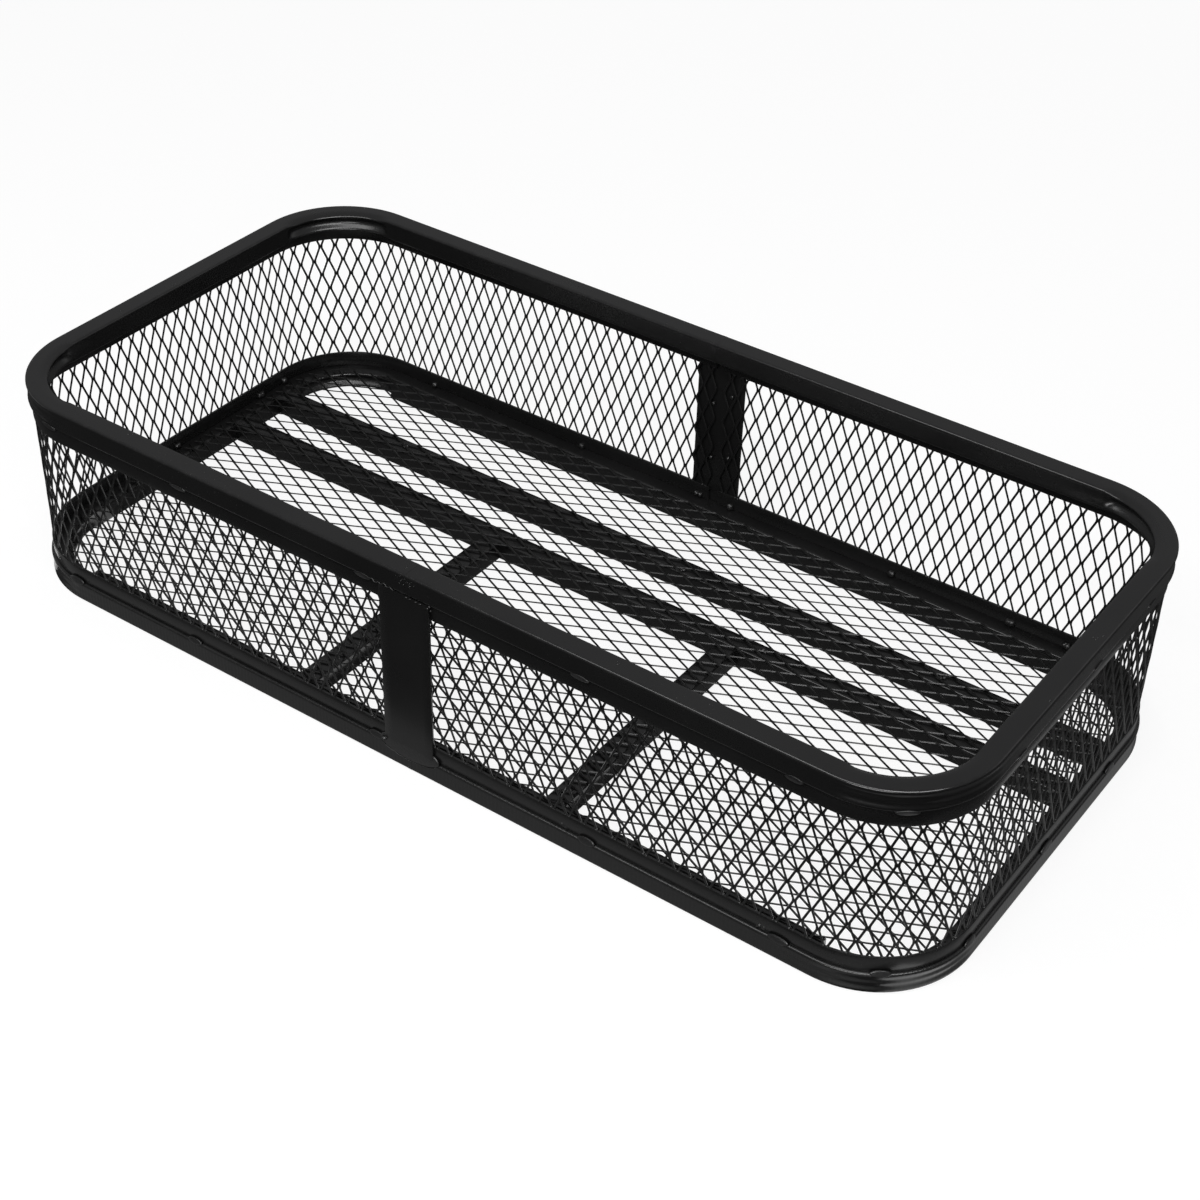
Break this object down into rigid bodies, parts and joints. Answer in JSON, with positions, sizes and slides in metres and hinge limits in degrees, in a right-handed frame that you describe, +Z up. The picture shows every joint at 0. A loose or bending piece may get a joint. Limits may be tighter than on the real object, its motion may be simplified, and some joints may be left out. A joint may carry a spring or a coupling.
{
  "type": "hitch cargo carrier basket",
  "caption": "Rectangular carrier basket with rounded corners, square tube rims, flat bands and expanded metal walls and floor over lengthwise floor tubes.",
  "frame": {"origin": "centre of the basket in plan, at the underside of the lower tube ring", "axes": "+X along the long sides, +Y towards the long side that the close pair of floor tubes is nearest to, +Z up"},
  "size_m": [1.219, 0.592, 0.259],
  "materials": {
    "tube_powder_coat": "satin black powder coat on bent square steel tube",
    "bar_powder_coat": "satin black powder coat on flat steel bar",
    "mesh_powder_coat": "satin black powder coat on raised expanded steel"
  },
  "bodies": {
    "root": {"top_rail_left": "tube_powder_coat", "top_rail_right": "tube_powder_coat", "bottom_rail_left": "tube_powder_coat", "bottom_rail_right": "tube_powder_coat", "floor_tube_rear": "tube_powder_coat", "floor_tube_front": "tube_powder_coat", "cross_tube_left": "tube_powder_coat", "cross_tube_right": "tube_powder_coat", "top_band_left": "bar_powder_coat", "top_band_right": "bar_powder_coat", "bottom_band_left": "bar_powder_coat", "bottom_band_right": "bar_powder_coat", "upright_front": "bar_powder_coat", "upright_back": "bar_powder_coat", "floor_strip_front": "bar_powder_coat", "floor_strip_back": "bar_powder_coat", "wall_mesh_left": "mesh_powder_coat", "wall_mesh_right": "mesh_powder_coat", "floor_mesh": "mesh_powder_coat"}
  },
  "joints": []
}
